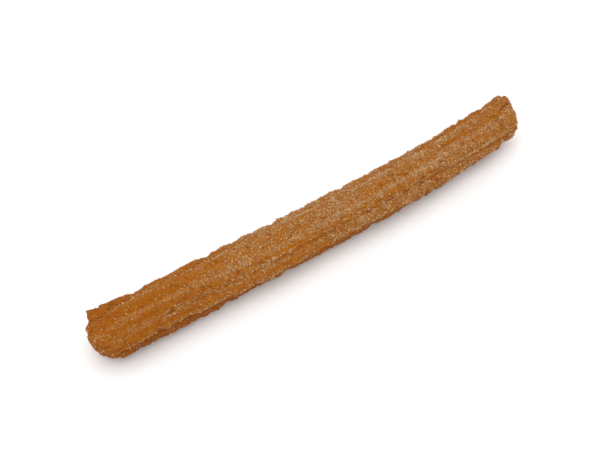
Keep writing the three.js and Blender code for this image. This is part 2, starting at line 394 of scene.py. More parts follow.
# %% Rows along the rod and columns round it
SOLID_GRID = {"per ridge": 8, "side": 4.0, "edge": 4, "face": 4, "crowding": 0.0}
FINE_GRID = {"per ridge": 22, "side": 0.5, "edge": 11, "face": 18, "crowding": 0.35}


def end_rows(grid, rounding):
    """The rows of one end, from its middle out: share of the radius and distance from the cut."""
    face_share = 1 - rounding / CREST_RADIUS
    out = np.arange(grid["face"] + 1) / grid["face"]
    face = np.stack([face_share * out, -END_DOME * (1 - out**2)], axis=1)
    turned = np.radians(90) * np.arange(1, grid["edge"] + 1) / grid["edge"]
    edge_share = face_share + (1 - face_share) * np.sin(turned)
    edge = np.stack([edge_share, rounding * (1 - np.cos(turned))], axis=1)
    return np.concatenate([face, edge])


def rod_rows(grid):
    """The share of the radius and the station of every row, from the left end to the right end."""
    left = end_rows(grid, LEFT_CUT["round"]) * [1, 1] + [0, -HALF]
    right = end_rows(grid, RIGHT_CUT["round"])[::-1] * [1, -1] + [0, HALF]
    start, end = left[-1, 1], right[0, 1]
    steps = round((end - start) / grid["side"])
    stations = start + np.arange(1, steps) * (end - start) / steps
    return np.concatenate([left, np.stack([np.ones(steps - 1), stations], axis=1), right])


def rod_columns(grid):
    """The place of every column, crowded towards the grooves."""
    within = np.arange(grid["per ridge"]) / grid["per ridge"]
    within = within - grid["crowding"] * np.sin(2 * np.pi * within) / (2 * np.pi)
    return (np.arange(RIDGES)[:, None] + within).ravel()


for name, grid in (("solid", SOLID_GRID), ("fine", FINE_GRID)):
    print(name, "rows and columns:", len(rod_rows(grid)), len(rod_columns(grid)))


# %% The solid's own layout, and the fine one over it
def laid_out(grid):
    """The share, station and place of every row and column, and their points before they are set down."""
    rows, columns = rod_rows(grid), rod_columns(grid)
    share, place = np.meshgrid(rows[:, 0], columns, indexing="ij")
    x = np.meshgrid(rows[:, 1], columns, indexing="ij")[0]
    return share, x, place, dough_points(x.ravel(), place.ravel(), share.ravel())


plain_points = laid_out(SOLID_GRID)[3]
base = (plain_points.min(axis=0) + plain_points.max(axis=0)) / 2
base[2] = plain_points[:, 2].min()
share, station, place, points = laid_out(FINE_GRID)
points = (points - base).reshape(*share.shape, 3)
solid_gap = np.abs(plain_points.max(axis=0) - base - np.array(solid_box[1]) / MM).max()
print("off the solid's box, mm:", round(float(solid_gap), 4))


# %% [markdown]
# ## The crust
# Hot oil blisters and tears the skin of the dough. What shows at arm's length are crags a few millimetres
# across, a grain as fine as the sugar, narrow wrinkles, small pits where bubbles burst, short cracks, a
# thin dark seam at the bottom of a groove, and rough crumb on the cut faces. The flap at the left end has
# a thin torn tip. A displacement modifier could do this, but code can place each kind where it belongs:
# crags on the crests and at the cut ends, seams in the grooves. Each kind is a height in millimetres, and
# their sum moves the surface along its own normal. Only the torn tip is pulled aside, by given amounts.

# %% The surface's normals
TINY = 1e-9


def surface_normals(points):
    """Outward normals of a closed grid whose columns go round."""
    along = np.gradient(points, axis=0)
    around = np.roll(points, -1, axis=1) - np.roll(points, 1, axis=1)
    normals = np.cross(around, along)
    normals[0], normals[-1] = (-1, 0, 0), (1, 0, 0)
    length = np.linalg.norm(normals, axis=2, keepdims=True)
    return normals / np.maximum(length, TINY)


normals = surface_normals(points)
outward = (normals * (points - points.mean(axis=1, keepdims=True))).sum(axis=2)
print("normals that point outwards:", round(float((outward > 0).mean()), 4))

# %% Where the crests, the grooves and the ends are
RIDGE_WIDTH = 2 * np.pi * CREST_RADIUS / RIDGES
CREST_SHARPNESS = 1.5
END_FADE = (16, 2)
across = across_ridge(station.ravel(), place.ravel()).reshape(share.shape)
crest_mask = 1 - np.abs(across) ** CREST_SHARPNESS
near_groove = np.round(place).astype(int) % RIDGES
from_left = points[..., 0] - points[..., 0].min()
from_right = points[..., 0].max() - points[..., 0]
end_mask = np.maximum(ramp(*END_FADE, from_left), ramp(*END_FADE, from_right))
flat_points = points.reshape(-1, 3)
print("one ridge is wide, mm:", round(RIDGE_WIDTH, 2))


def crust_lumps(size, seed, stretch=(1, 1, 1)):
    """Lumps all over the crust. A stretch below 1 draws them out along that axis."""
    return lumps(flat_points * stretch, size, seed).reshape(share.shape)


def sideways(around):
    """How far every place is from another one round the bar, in millimetres."""
    return ((place - around + RIDGES / 2) % RIDGES - RIDGES / 2) * RIDGE_WIDTH


# %% Crags, grain, torn crumb and wrinkles: size of the lumps, and height or depth
CRAGS = [(6.0, 0.22), (3.1, 0.33), (1.7, 0.4)]
CRAGS_EVERYWHERE, CRAGS_ON_CRESTS, CRAGS_AT_ENDS = 0.55, 0.45, 0.5
GRAIN = [(1.05, 0.2), (0.7, 0.14)]
TORN_FACE = [(3.0, 0.4), (1.4, 0.35)]
WRINKLES = [(3.4, 0.26), (1.9, 0.2)]
WRINKLE_SHARPNESS = 6
CRUST_SEED = {"crags": 201, "grain": 211, "wrinkles": 215, "torn face": 251}


def layered(sizes, seed):
    """Lumps of several sizes, each with its own height, added up."""
    return sum(height * crust_lumps(size, seed + i) for i, (size, height) in enumerate(sizes))


def creased(sizes, seed):
    """Narrow creases between lumps of several sizes, each with its own depth, added up."""
    total = 0
    for i, (size, depth) in enumerate(sizes):
        total = total + depth * (1 - np.abs(crust_lumps(size, seed + i))) ** WRINKLE_SHARPNESS
    return total


crag_share = CRAGS_EVERYWHERE + CRAGS_ON_CRESTS * crest_mask + CRAGS_AT_ENDS * end_mask
crags = layered(CRAGS, CRUST_SEED["crags"]) * crag_share
grain = layered(GRAIN, CRUST_SEED["grain"]) + layered(TORN_FACE, CRUST_SEED["torn face"]) * (1 - share**2)
wrinkles = creased(WRINKLES, CRUST_SEED["wrinkles"])
print("crags, mm:", *span(crags), " grain, mm:", *span(grain), " wrinkles, mm:", *span(wrinkles))

# %% Seams at the bottom of the grooves, each broken where the lumps are low
SEAM_DEPTH, SEAM_WIDTH = 0.5, 0.34
SEAM_BREAKS = np.array([0.55, 0.0, 0.4, 0.2, 0.0, 0.0, 0.0, 0.2])
SEAM_FADE = 0.35
SEAM_LUMPS = {"size": 5.0, "seed": 221, "stretch": (1, 0.3, 0.3)}
SEAM_WANDER = 0.35
WANDER_LUMPS = {"size": 4.0, "seed": 222, "stretch": (1, 0.1, 0.1)}
FRONT_GROOVE, FRONT_SEAM = 1, 0.6
FRONT_SHIFT, FRONT_SHIFT_AT, FRONT_SHIFT_REACH = 1.5, -8, 28
FRONT_SEAM_START, FRONT_SEAM_END = (62, 80), (128, 118)
FRONT_SEAM_AT, FRONT_SEAM_REACH = -15, 13
OPEN_SEAM_DEPTH, OPEN_SEAM_WIDTH, OPEN_SEAM_START = 0.7, 0.4, (112, 119)
in_front = near_groove == FRONT_GROOVE
seam_here = ramp(SEAM_BREAKS[near_groove], SEAM_BREAKS[near_groove] + SEAM_FADE, crust_lumps(**SEAM_LUMPS))
right_stretch = FRONT_SEAM * in_front * ramp(*FRONT_SEAM_START, station) * ramp(*FRONT_SEAM_END, station)
middle_stretch = FRONT_SEAM * in_front * bump(station - FRONT_SEAM_AT, FRONT_SEAM_REACH)
seam_here = np.maximum(np.maximum(seam_here, right_stretch), middle_stretch)
seam_shift = FRONT_SHIFT * in_front * bump(station - FRONT_SHIFT_AT, FRONT_SHIFT_REACH)
seam_wander = SEAM_WANDER * crust_lumps(**WANDER_LUMPS)
from_seam = (place - np.round(place)) * RIDGE_WIDTH + seam_wander + seam_shift
seams = SEAM_DEPTH * bump(from_seam, SEAM_WIDTH) * seam_here * share**2
open_seam = (near_groove == OPEN_GROOVE) * ramp(*OPEN_SEAM_START, station) * share**2
seams += OPEN_SEAM_DEPTH * bump(from_seam, OPEN_SEAM_WIDTH) * open_seam
print("seams, mm:", *span(seams))

# %% Pits left by burst bubbles. The large ones: station, place and half width
PITS = 420
PIT_WIDTHS = (0.28, 0.7)
PIT_DEPTHS = (0.2, 0.55)
PIT_STRETCHES = (1.0, 1.9)
PIT_MARGIN, PIT_REACH, PIT_SEED = 2, 4, 7
LARGE_PIT_DEPTH, LARGE_PIT_STRETCH = 0.6, 1.2
LARGE_PITS = [
    (-63, 7.6, 0.6),
    (-61, 7.75, 0.8),
    (-57, 0.62, 0.9),
    (-47.5, 7.65, 0.8),
    (-45, 0.72, 0.9),
    (-44, 7.5, 0.7),
    (-34.5, 7.6, 0.9),
    (-23.5, 0.86, 0.8),
    (57, 7.85, 0.8),
    (72, 7.85, 0.7),
    (83, 0.28, 0.9),
    (85.5, 0.68, 1.1),
    (60, 1.3, 0.9),
    (113, 0.6, 0.8),
]
pits = np.zeros(share.shape)
print("large pits:", len(LARGE_PITS))


def dig_pit(at, around, width, depth, stretch):
    """Deepen the pits round a station and a place."""
    near = np.abs(station[:, 0] - at) < PIT_REACH
    distance = np.hypot((station[near] - at) / stretch, sideways(around)[near])
    pits[near] = np.maximum(pits[near], depth * bump(distance, width))


# %% Dig the pits: the small ones by chance, the large ones on the front and again on the back
chance = np.random.default_rng(PIT_SEED)
for _ in range(PITS):
    at, around = chance.uniform(-HALF + PIT_MARGIN, HALF - PIT_MARGIN), chance.uniform(0, RIDGES)
    width, depth = chance.uniform(*PIT_WIDTHS), chance.uniform(*PIT_DEPTHS)
    dig_pit(at, around, width, depth, chance.uniform(*PIT_STRETCHES))
for at, around, width in LARGE_PITS:
    dig_pit(at, around, width, LARGE_PIT_DEPTH * width, LARGE_PIT_STRETCH)
    dig_pit(-at, around + RIDGES / 2, width, LARGE_PIT_DEPTH * width, LARGE_PIT_STRETCH)
print("pits:", PITS + 2 * len(LARGE_PITS), " deepest, mm:", round(float(pits.max()), 2))

# %% Cracks across the ridges: station and place of each end, and depth. A raised fold has a negative one
CRACKS = [
    (-81.5, 7.87, -79.2, 8.38, 0.35),
    (77.1, 0.17, 80.6, 0.62, -0.2),
    (35.0, 7.3, 38.5, 7.6, 0.3),
    (-15.0, 0.6, -10.0, 0.85, 0.3),
    (59.0, 1.22, 63.0, 1.4, 0.45),
    (103.0, 0.3, 104.5, 0.75, 0.25),
    (-30.0, 4.2, -26.0, 4.7, 0.4),
    (48.0, 5.1, 50.0, 5.6, 0.4),
]
CRACK_WIDTH = 0.3
cracks = np.zeros(share.shape)
for x1, place1, x2, place2, depth in CRACKS:
    run = np.array([x2 - x1, (place2 - place1) * RIDGE_WIDTH])
    ahead, aside = station - x1, sideways(place1)
    along = np.clip((ahead * run[0] + aside * run[1]) / (run @ run), 0, 1)
    cracks += depth * bump(np.hypot(ahead - along * run[0], aside - along * run[1]), CRACK_WIDTH) * share**2
print("cracks and folds:", len(CRACKS))

# %% The torn tip of the flap and the nick below it: station and place, width, and pull along X, Y and Z
TIP = ((-124.8, 6.44), 2.4, (-1.3, 0.7, 1.9))
NICK = ((-126.8, 6.44), 2.4, (1.4, 0.0, -0.3))
TIP_SHARPNESS = 1.5
print("tip and nick are wide, mm:", TIP[1], NICK[1])

# %% Move the surface
RELIEF_AT_MIDDLE = 0.4
relief = crags + grain + wrinkles.mean() - wrinkles - seams - pits - cracks
relief = relief * np.minimum(1, RELIEF_AT_MIDDLE + share)
relief[0] = relief[0].mean()
relief[-1] = relief[-1].mean()
crust_points = points + normals * relief[..., None]
for (at, around), width, pull in (TIP, NICK):
    spot = points.reshape(-1, 3)[np.hypot(station - at, sideways(around)).argmin()]
    nearness = np.clip(1 - np.linalg.norm(points - spot, axis=2) / width, 0, 1) ** TIP_SHARPNESS
    crust_points += nearness[..., None] * np.array(pull)
crust_points[..., 2] = np.maximum(crust_points[..., 2], 0)
print("relief, mm:", *span(relief))


# %% [markdown]
# ## One closed skin
# The outside of a churro is one unbroken crust. A cylinder primitive with a modifier could stand in for
# it, but its caps would be flat fans and its rows even. So the rows and columns laid out above become one
# closed mesh with a single point at each end. It also gets a map for baking: the skin is unrolled, cut
# across at mid-length, and the two strips are laid side by side.

# %% A closed mesh from the grid
def grid_mesh(name, grid_points):
    """A closed mesh from a grid whose first and last rows are single points."""
    rows, columns = grid_points.shape[:2]
    body = grid_points[1:-1].reshape(-1, 3)
    vertices = np.concatenate([grid_points[0, :1], body, grid_points[-1, :1]]) * MM
    ring = 1 + np.arange(rows - 2)[:, None] * columns + np.arange(columns)
    ahead = np.roll(ring, -1, axis=1)
    quads = np.stack([ring[:-1], ahead[:-1], ahead[1:], ring[1:]], axis=-1).reshape(-1, 4)
    last = len(vertices) - 1
    first_fan = np.stack([np.zeros(columns, int), ahead[0], ring[0]], axis=1)
    last_fan = np.stack([np.full(columns, last), ring[-1], ahead[-1]], axis=1)
    mesh = bpy.data.meshes.new(name)
    mesh.from_pydata(vertices.tolist(), [], quads.tolist() + first_fan.tolist() + last_fan.tolist())
    mesh.update()
    return mesh


crust_mesh = grid_mesh("churro_crust", crust_points)
print("crust faces:", len(crust_mesh.polygons))

# %% Unroll the skin for baking
STRIPS = 2
UNROLL_MARGIN = 0.01


def unroll(mesh, grid_points, strips):
    """A map of the skin: unrolled, cut across into strips, and the strips laid side by side."""
    rows, columns = grid_points.shape[:2]
    steps = np.linalg.norm(np.diff(grid_points, axis=0), axis=2).mean(axis=1)
    along = np.concatenate([[0], np.cumsum(steps)]) / steps.sum() * strips
    column = np.arange(columns)[:, None]
    row = np.repeat(np.arange(1, rows - 2), columns)[:, None]
    quad_rows = row + [0, 0, 1, 1]
    quad_columns = np.tile(column, (rows - 3, 1)) + [0, 1, 1, 0]
    first_rows, first_columns = np.tile([0, 1, 1], (columns, 1)), column + [0.5, 1, 0]
    last_rows, last_columns = rows - 1 - np.tile([0, 1, 1], (columns, 1)), column + [0.5, 0, 1]
    corner_rows = np.concatenate([quad_rows.ravel(), first_rows.ravel(), last_rows.ravel()])
    corner_columns = np.concatenate([quad_columns.ravel(), first_columns.ravel(), last_columns.ravel()])
    fan_starts = [np.zeros(columns * 3, int), np.full(columns * 3, rows - 2)]
    start_rows = np.concatenate([np.repeat(row, 4), *fan_starts])
    strip = np.minimum(np.floor(along[start_rows]), strips - 1)
    map_x = UNROLL_MARGIN + (1 - 2 * UNROLL_MARGIN) * (along[corner_rows] - strip)
    map_y = (strip + UNROLL_MARGIN + (1 - 2 * UNROLL_MARGIN) * corner_columns / columns) / strips
    corners = np.stack([map_x, map_y], axis=1).ravel().astype(np.float32)
    mesh.uv_layers.new(name="OFBake").uv.foreach_set("vector", corners)


unroll(crust_mesh, crust_points, STRIPS)
crust_mesh.polygons.foreach_set("use_smooth", np.ones(len(crust_mesh.polygons), bool))
crust = bpy.data.objects.new("churro_crust", crust_mesh)
bpy.context.scene.collection.objects.link(crust)
print("map corners:", len(crust_mesh.uv_layers["OFBake"].uv))

# %% [markdown]
# ## Where sugar clings, where the frying shows, and where shade is painted
# A churro is rolled in sugar while it is hot. Sugar gathers in long streaks on the flanks of the ridges
# and in the fine lines that the nozzle drew, and it rubs off in bands between them. It hardly reaches
# pits and seams. Shade is painted on too: pits, seams and groove beds are darkened partly as painted
# shade, faces that look down get more browning and less sugar as painted shade, the underside of the left
# tip is browned less as painted light, and the band under the front ridge's lip is a painted shadow, dark
# and without sugar. All of this could be painted by hand on an image, but numbers kept on the points of
# the skin always fit its shape. So the streaks are set as lines, the rest is worked out from the relief,
# and four masks from 0 to 1 come of it: how hollow a place is together with its painted shade, how much
# sugar clings to it, how dark the frying and the painted shade leave it, and how much fine powder lies on
# it.

# %% Streaks where sugar gathered and bands it was rubbed off: stations, places there, half width, share
STREAKS = [
    (
        [-114, -95, -53, -39, -4, 40, 64, 89, 117],
        [0.25, 0.22, 0.32, 0.38, 0.28, 0.37, 0.32, 0.26, 0.32],
        0.9,
        0.3,
    ),
    ([-110, -97], [7.32, 7.08], 0.8, 0.35),
    ([-106, -70], [0.95, 0.92], 0.7, 0.25),
    ([-118, -20], [1.7, 1.7], 0.6, 0.3),
    ([-28, 20], [6.94, 6.94], 0.9, 0.3),
    ([18, 58], [7.32, 7.5], 0.8, 0.35),
    ([-92, -60], [7.05, 6.95], 1.5, -0.35),
    ([-104, -60], [6.5, 6.5], 2.0, -0.25),
    ([70, 122], [0.88, 0.86], 0.5, 0.3),
    ([-122, -95, -60], [7.85, 7.87, 7.75], 1.8, -0.3),
    ([-116, -95, -62, -4, 60], [0.56, 0.62, 0.63, 0.64, 0.68], 0.9, -0.35),
    ([-118, -80, -8], [1.3, 1.4, 1.42], 1.6, -0.38),
    ([-122, -104], [6.7, 6.7], 2.2, -0.25),
    ([-126, -119], [0.1, 0.1], 2.5, -0.3),
    ([-22, -8], [7.55, 7.5], 0.9, -0.3),
    ([-26, -12], [0.95, 0.93], 0.9, -0.3),
    ([28, 44], [7.78, 7.72], 0.8, -0.3),
    ([76, 96, 120], [7.9, 8.06, 8.17], 1.1, -0.35),
    ([82, 96], [0.34, 0.44], 0.7, -0.3),
    ([62, 95, 122], [7.1, 6.9, 7.2], 2.4, -0.4),
    ([82, 124], [0.76, 0.64], 1.3, -0.25),
    ([88, 110], [6.4, 6.6], 1.4, -0.25),
    ([38, 68], [6.7, 6.7], 1.2, 0.2),
    ([28, 56], [0.42, 0.42], 1.4, 0.15),
    ([-64, -38], [0.45, 0.45], 0.9, 0.2),
    ([-64, -24], [0.92, 0.92], 0.7, 0.2),
    ([-112, -98, -84], [0.17, 0.24, 0.32], 1.2, 0.22),
    ([-120, -100, -84], [1.12, 1.08, 0.98], 1.2, 0.3),
    ([-44, -30, -12], [7.58, 7.5, 7.38], 0.8, 0.35),
    ([-14, 12, 30], [0.38, 0.32, 0.4], 0.9, 0.14),
    ([-94, -80], [7.45, 7.45], 0.8, -0.3),
    ([78, 100], [6.87, 6.85], 0.8, -0.3),
    ([-30, -8, 20], [0.9, 0.89, 0.88], 0.7, -0.35),
]
STREAK_OUTER, STREAK_INNER = 6, 2
streaks = np.zeros(share.shape)
for stations, places, half_width, amount in STREAKS:
    first, last = stations[0], stations[-1]
    line = np.interp(station, stations, places)
    within = ramp(first - STREAK_OUTER, first + STREAK_INNER, station)
    within = within * ramp(last + STREAK_OUTER, last - STREAK_INNER, station)
    for far_side in (0, RIDGES / 2):
        streaks += amount * within * bump(sideways(line + far_side), half_width)
print("streaks:", len(STREAKS), "on the front and as many on the back")

# %% Patches, and the fine lines that the nozzle drew along the dough
PATCHES = {"size": 7.0, "seed": 231, "stretch": (0.5, 1, 1)}
SMALL_PATCHES, SMALL_PATCH_SHARE = {"size": 2.6, "seed": 232}, 0.6
NOZZLE_STRETCH = 0.07
NOZZLE_LINES = [(1.0, 2.4, 233), (0.8, 1.1, 234)]
patches = crust_lumps(**PATCHES)
patches += SMALL_PATCH_SHARE * crust_lumps(**SMALL_PATCHES)
around_bar = 2 * np.pi * place / RIDGES
nozzle_places = [station * NOZZLE_STRETCH / CREST_RADIUS, np.cos(around_bar), np.sin(around_bar)]
nozzle_places = (CREST_RADIUS * np.stack(nozzle_places, axis=-1)).reshape(-1, 3)
nozzle_lines = sum(amount * lumps(nozzle_places, size, seed) for amount, size, seed in NOZZLE_LINES)
nozzle_lines = nozzle_lines.reshape(share.shape)
print("patches:", *span(patches), " nozzle lines:", *span(nozzle_lines))

# %% Painted shadow: the dark band under the lip of the front ridge
LIP_PLACE, LIP_FADE = 1.78, 0.17
LIP_LEFT, LIP_LEFT_STATIONS = 0.08, (-84, -96)
LIP_RIGHT, LIP_RIGHT_STATIONS = 0.2, (-70, -10)
LIP_DIP, LIP_DIP_AT, LIP_DIP_REACH = 0.08, -10, 22
BAND_FOOT = (2.62, 2.42)
BAND_EVERYWHERE = 0.3
BAND_INNER, BAND_INNER_STATIONS = 0.6, (75, 45)
BAND_LEFT, BAND_LEFT_STATIONS = 0.1, (-35, -60)
BAND_START = (-122, -112)
lip = LIP_PLACE + LIP_LEFT * ramp(*LIP_LEFT_STATIONS, station)
lip = lip - LIP_RIGHT * ramp(*LIP_RIGHT_STATIONS, station)
lip = lip - LIP_DIP * bump(station - LIP_DIP_AT, LIP_DIP_REACH)
band_share = BAND_EVERYWHERE + BAND_INNER * ramp(*BAND_INNER_STATIONS, station)
band_share = band_share + BAND_LEFT * ramp(*BAND_LEFT_STATIONS, station)
# Painted shadow: this band is darkened, and its sugar and powder are taken off, as the shade under the
# overhanging lip.
painted_lip_shadow = ramp(lip, lip + LIP_FADE, place) * ramp(*BAND_FOOT, place)
painted_lip_shadow = painted_lip_shadow * band_share * ramp(*BAND_START, station)
print("lip at place:", *span(lip))

# %% Mask: hollows, with painted shade in the groove beds and under the lip
FULL_PIT, FULL_DENT = 0.55, 0.4
WRINKLE_SHADE = 0.35
GROOVE_SHADE = np.array([0.0, 0.1, 0.5, 0.5, 0.5, 0.5, 0.5, 0.3])
GROOVE_SHARPNESS = 6
LIP_SHADE = 0.75
dents = seams + np.maximum(cracks, 0) + WRINKLE_SHADE * wrinkles
hollow = pits / FULL_PIT + dents / FULL_DENT
# Painted shade: the beds of the grooves are darkened as if shade fell there.
hollow = hollow + GROOVE_SHADE[near_groove] * np.abs(across) ** GROOVE_SHARPNESS
hollow = np.clip(hollow, 0, 1)
# Painted shadow: the band under the lip joins the hollows, so it takes their dark colour.
shaded = np.maximum(hollow, LIP_SHADE * painted_lip_shadow)
print("hollow and shaded, mean:", round(float(shaded.mean()), 2))

# %% Masks: sugar, browning and powder, each a base and what adds to it or takes from it
LEFT_FADE, LEFT_TIP_FADE, RIGHT_FADE = (-20, -122), (-112, -125), (84, 120)
LEFT_TIP_LIGHT_BELOW, SUGAR_SHADE_BELOW, BROWN_SHADE_BELOW = (0.5, -0.2), (0.1, -0.5), (0.2, -0.6)
SUGAR_OFF_IN_LIP_SHADOW = 0.8
BROWN_LUMPS = {"size": 11.0, "seed": 241, "stretch": (0.4, 1, 1)}


def added_up(base, causes):
    """A mask from its base and the causes that add to it or take from it, kept from 0 to 1."""
    for amount, cause in causes:
        base = base + amount * cause
    return np.clip(base, 0, 1)


facing_up = normals[..., 2]
towards_left = ramp(*LEFT_FADE, points[..., 0])
towards_right = ramp(*RIGHT_FADE, points[..., 0])
# Painted light: the underside of the left tip is browned less, so it shows paler where shade would fall.
left_underside_light = ramp(*LEFT_TIP_FADE, points[..., 0]) * ramp(*LEFT_TIP_LIGHT_BELOW, facing_up)
sugar = added_up(0.5, [
    (0.1, patches),
    (0.17, nozzle_lines),
    (0.1, crest_mask),
    (-0.28, towards_left),
    (-0.1, towards_right),
    (1.0, streaks),
    (-0.5, hollow),
    # Painted shade: less sugar on faces that look down.
    (-0.25, ramp(*SUGAR_SHADE_BELOW, facing_up)),
])
# Painted shadow: sugar is taken off the band under the lip.
sugar = sugar * (1 - SUGAR_OFF_IN_LIP_SHADOW * painted_lip_shadow)
browning = added_up(0.22, [
    (0.3, towards_left),
    (-0.25, left_underside_light),
    (0.15, crust_lumps(**BROWN_LUMPS)),
    (-0.12, nozzle_lines),
    (-0.15, 1 - share**2),
    # Painted shade: faces that look down are browned more; hollows are browned more, partly as painted
    # shade; and a little more in the lip's painted shadow.
    (0.2, ramp(*BROWN_SHADE_BELOW, facing_up)),
    (0.3, hollow),
    (0.03, painted_lip_shadow),
])
# No powder lies in the painted shadow under the lip.
powder = added_up(0, [(0.25, sugar), (1.4, np.maximum(streaks, 0) * (1 - hollow))]) * (1 - painted_lip_shadow)
print("sugar:", *span(sugar), " browning:", *span(browning), " powder:", *span(powder))


# %% Keep the masks on the points of the skin
def on_points(grid_values):
    """A grid of values as one value for each point of the mesh."""
    return np.concatenate([grid_values[0, :1], grid_values[1:-1].ravel(), grid_values[-1, :1]])


for name, values in (("hollow", shaded), ("sugar", sugar), ("browning", browning), ("powder", powder)):
    layer = crust_mesh.attributes.new(name, "FLOAT", "POINT")
    layer.data.foreach_set("value", on_points(values).astype(np.float32))
    print(name, "mean:", round(float(values.mean()), 2))


# %% [markdown]
# ## Materials from node groups
# Three effects make a churro's colour: how the dough fried, the dust of sugar in it, and the shade of
# each loose grain. They could be mixed straight into the materials, but each is easier to build and to
# tune as a node group with named inputs. The dust is used twice in the crust, for coarse and for fine
# grains, and the shade in both sugar and cinnamon, with its own values each time. A group gives out
# colours, masks and values only, and each material keeps its own shader.

# %% Helpers for node trees
def new_group(name, inputs, outputs):
    """An empty node group with these sockets, its input node and its output node."""
    group = bpy.data.node_groups.new(name, "ShaderNodeTree")
    for label, kind, value in inputs:
        socket = group.interface.new_socket(label, in_out="INPUT", socket_type=kind)
        if value is not None:
            socket.default_value = value
    for label, kind in outputs:
        group.interface.new_socket(label, in_out="OUTPUT", socket_type=kind)
    return group, group.nodes.new("NodeGroupInput"), group.nodes.new("NodeGroupOutput")


def feed(tree, socket, value):
    """Link an input socket to another node's output, or set its value."""
    if isinstance(value, bpy.types.NodeSocket):
        tree.links.new(value, socket)
    else:
        socket.default_value = value


def add(tree, kind, settings=None, **sockets):
    """A node with its settings and its inputs, each given by name or as i and its number."""
    node = tree.nodes.new("ShaderNode" + kind)
    for key, value in (settings or {}).items():
        setattr(node, key, value)
    for key, value in sockets.items():
        numbered = key[0] == "i" and key[1:].isdigit()
        wanted = int(key[1:]) if numbered else key.replace("_", " ")
        feed(tree, node.inputs[wanted], value)
    return node


print("node groups so far:", len(bpy.data.node_groups))


# %% Helpers for sums, ranges, colours and noise
def math(tree, operation, first, second):
    """A Math node's result."""
    return add(tree, "Math", {"operation": operation}, i0=first, i1=second).outputs[0]


def weighted(tree, *terms):
    """The sum of values, each times its own share."""
    total = None
    for value, share in terms:
        part = math(tree, "MULTIPLY", value, share)
        total = part if total is None else math(tree, "ADD", total, part)
    return total


def swing(tree, value, amount):
    """A value from 0 to 1 turned into one that swings evenly about 0."""
    return math(tree, "MULTIPLY", math(tree, "SUBTRACT", value, 0.5), amount)


def rise(tree, value, low, high, to_low=0.0, to_high=1.0):
    """A value mapped smoothly from one range to another."""
    settings = {"interpolation_type": "SMOOTHSTEP"}
    return add(tree, "MapRange", settings, i0=value, i1=low, i2=high, i3=to_low, i4=to_high).outputs[0]


def blend_colours(tree, share, first, second):
    """Two colours mixed by a share."""
    settings = {"data_type": "RGBA", "blend_type": "MIX", "clamp_factor": True}
    return add(tree, "Mix", settings, i0=share, i6=first, i7=second).outputs[2]


def noise(tree, vector, size, detail=2.0, roughness=0.5):
    """Even noise from 0 to 1 whose lumps are this many millimetres across."""
    scale = 1 / (size * MM)
    return add(tree, "TexNoise", Vector=vector, Scale=scale, Detail=detail, Roughness=roughness).outputs[0]


def srgb(red, green, blue):
    """A colour given as the eye sees it, from 0 to 255, as the light that a shader works in."""
    seen = np.array([red, green, blue]) / 255
    light = np.where(seen <= 0.04045, seen / 12.92, ((seen + 0.055) / 1.055) ** 2.4)
    return (*light.tolist(), 1.0)


print("middle grey as light:", round(srgb(128, 128, 128)[0], 3))

# %% [markdown]
# ## Fried tone
# Dough browns unevenly in the oil: orange-gold where it is thick and dark brown where it is thin or was
# fried longest, in soft patches with fine freckles. One colour with a little noise would look like clay.
# So the browning mask, which also carries painted shade and a little painted light, is shaken by two
# sizes of noise and then read through a colour ramp made of fried colours only.

# %% Group: fried tone
FRIED_TONES = [
    (0.0, srgb(159, 95, 19)),
    (0.35, srgb(154, 89, 15)),
    (0.7, srgb(143, 79, 14)),
    (1.0, srgb(125, 64, 15)),
]
PATCH_SIZE, PATCH_ROUGHNESS, PATCH_SWING = 5.0, 0.8, 1.3
FRECKLE_SIZE, FRECKLE_ROUGHNESS, FRECKLE_SWING = 1.0, 0.7, 1.5
FRIED_DETAIL = 4.0


def fried_tone_group():
    """Dough fried from orange-gold to dark brown, in soft patches with fine freckles."""
    group, given, out = new_group(
        "fried tone",
        [("Vector", "NodeSocketVector", None), ("Browning", "NodeSocketFloat", 0.4)],
        [("Colour", "NodeSocketColor")],
    )
    vector = given.outputs["Vector"]
    patch = noise(group, vector, PATCH_SIZE, FRIED_DETAIL, PATCH_ROUGHNESS)
    freckle = noise(group, vector, FRECKLE_SIZE, FRIED_DETAIL, FRECKLE_ROUGHNESS)
    level = math(group, "ADD", given.outputs["Browning"], swing(group, patch, PATCH_SWING))
    level = math(group, "ADD", level, swing(group, freckle, FRECKLE_SWING))
    ramp_node = add(group, "ValToRGB", Fac=level)
    stops = ramp_node.color_ramp.elements
    stops[0].position, stops[0].color = FRIED_TONES[0]
    stops[1].position, stops[1].color = FRIED_TONES[-1]
    for position, colour in FRIED_TONES[1:-1]:
        stops.new(position).color = colour
    group.links.new(ramp_node.outputs[0], out.inputs["Colour"])
    return group


fried_tone = fried_tone_group()
print("fried tone, colours in its ramp:", len(FRIED_TONES))

# %% [markdown]
# ## Sugar dust
# Between the loose grains the crust is covered by smaller ones, pressed into the dough. Modelling all of
# them would take millions of faces, and at their size a pattern with relief does as well. Voronoi cells
# stand like packed grains. Each cell draws a random number, and where that lies below the amount asked
# for there is a grain.

# %% Group: sugar dust
SHAKES_PER_MM = 2.2
SHAKE = 0.5 * MM
GRAIN_DOUBT = 0.06
GRAIN_RIM, GRAIN_TOP = 0.62, 0.25


